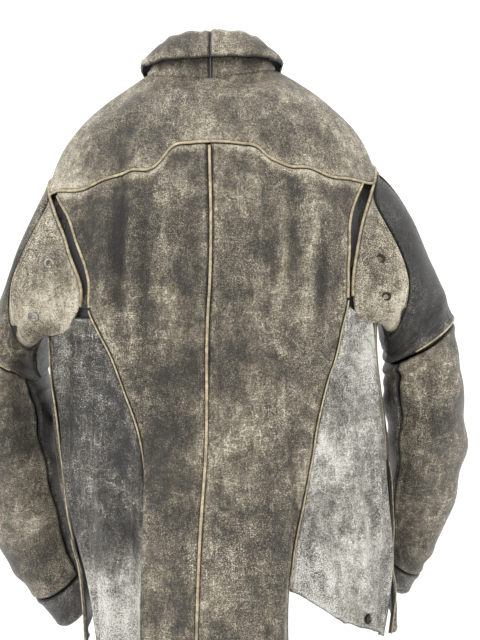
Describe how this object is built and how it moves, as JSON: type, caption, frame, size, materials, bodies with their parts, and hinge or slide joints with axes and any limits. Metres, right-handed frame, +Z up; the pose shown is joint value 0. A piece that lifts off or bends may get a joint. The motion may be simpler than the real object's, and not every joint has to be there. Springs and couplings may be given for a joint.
{
  "type": "leather jacket",
  "caption": "Hip-length leather work jacket with turned-down collar, shaped back yoke, pleated back, vented underarm gussets, side vents and an open front zip.",
  "frame": {"origin": "inside back of the neck, at the hanger loop", "axes": "+Z up, +X to the wearer's right, +Y to the wearer's front"},
  "size_m": [0.7464, 0.3013, 0.9115],
  "materials": {
    "yoke_leather": "scuffed and matt",
    "leather": "crackled grain, worn",
    "dark_leather": "dark, part glossy",
    "worn_leather": "rubbed pale",
    "piping": "worn to the undyed core",
    "lining": "satin",
    "zip_tape": "woven tape",
    "zip_metal": "tarnished",
    "eyelet_metal": "nickel, worn",
    "snap_metal": "blackened"
  },
  "bodies": {
    "torso": {"back_yoke": "yoke_leather", "left_back_panel": "leather", "right_back_panel": "leather", "left_action_pleat": "dark_leather", "right_action_pleat": "dark_leather", "left_side_back_panel": "worn_leather", "right_side_back_panel": "worn_leather", "left_front_yoke": "yoke_leather", "right_front_yoke": "yoke_leather", "left_front_side_panel": "leather", "right_front_side_panel": "leather", "collar_left_leaf": "yoke_leather", "collar_right_leaf": "yoke_leather", "collar_left_stand": "yoke_leather", "collar_right_stand": "yoke_leather", "neck_facing": "dark_leather", "hanger_loop": "dark_leather", "yoke_piping": "piping", "centre_back_piping": "piping", "left_pleat_piping": "piping", "right_pleat_piping": "piping", "left_side_back_piping": "piping", "right_side_back_piping": "piping", "left_upper_zip": "zip_tape", "right_upper_zip": "zip_tape", "left_vent_snap": "snap_metal", "right_vent_snap": "snap_metal", "back_lining": "lining"},
    "left_front": {"left_front_panel": "leather", "left_front_zip_tape": "zip_tape", "left_zip_teeth": "zip_metal", "left_front_lining": "lining"},
    "right_front": {"right_front_panel": "leather", "right_front_zip_tape": "zip_tape", "right_zip_teeth": "zip_metal", "right_front_lining": "lining"},
    "left_sleeve": {"left_sleeve_top": "dark_leather", "left_sleeve_under": "dark_leather", "left_underarm_gusset": "worn_leather", "left_gusset_eyelets": "eyelet_metal", "left_elbow_piping": "piping", "left_sleeve_lining": "lining"},
    "right_sleeve": {"right_sleeve_top": "dark_leather", "right_sleeve_under": "dark_leather", "right_underarm_gusset": "worn_leather", "right_gusset_eyelets": "eyelet_metal", "right_elbow_piping": "piping", "right_sleeve_lining": "lining"},
    "left_forearm": {"left_forearm_top": "dark_leather", "left_forearm_under": "dark_leather", "left_cuff": "dark_leather", "left_forearm_lining": "lining"},
    "right_forearm": {"right_forearm_top": "dark_leather", "right_forearm_under": "dark_leather", "right_cuff": "dark_leather", "right_forearm_lining": "lining"},
    "zip_slider": {"zip_slider": "zip_metal"},
    "zip_pull": {"zip_pull": "zip_metal"}
  },
  "joints": [
    {"name": "left_front_open", "type": "hinge", "parent": "torso", "child": "left_front", "pos_m": [-0.2087, 0.12706, -0.24835], "axis": [-0.0573, 0, 0.9984], "range_deg": [0, 95], "stiffness_Nm_per_rad": 0.08},
    {"name": "left_shoulder_swing", "type": "hinge", "parent": "torso", "child": "left_sleeve", "pos_m": [-0.24166, 0.052, -0.12914], "axis": [0, 1, 0], "range_deg": [0, 50]},
    {"name": "left_elbow_bend", "type": "hinge", "parent": "left_sleeve", "child": "left_forearm", "pos_m": [-0.287, 0.1235, -0.405], "axis": [0.795, 0, -0.6067], "range_deg": [0, 60]},
    {"name": "right_front_open", "type": "hinge", "parent": "torso", "child": "right_front", "pos_m": [0.21895, 0.12706, -0.23124], "axis": [0.0278, 0, -0.9996], "range_deg": [0, 95], "stiffness_Nm_per_rad": 0.08},
    {"name": "right_shoulder_swing", "type": "hinge", "parent": "torso", "child": "right_sleeve", "pos_m": [0.24609, 0.052, -0.10988], "axis": [0, -1, 0], "range_deg": [0, 50]},
    {"name": "right_elbow_bend", "type": "hinge", "parent": "right_sleeve", "child": "right_forearm", "pos_m": [0.312, 0.1255, -0.3775], "axis": [0.8, 0, 0.6], "range_deg": [0, 60]},
    {"name": "zip_slider_travel", "type": "slide", "parent": "left_front", "child": "zip_slider", "axis": [-0.043, 0, 0.9991], "range_m": [0, 0.53]},
    {"name": "zip_pull_swing", "type": "hinge", "parent": "zip_slider", "child": "zip_pull", "pos_m": [0.02128, 0.17489, -0.76314], "axis": [0.9991, 0, 0.043], "range_deg": [0, 110]}
  ]
}
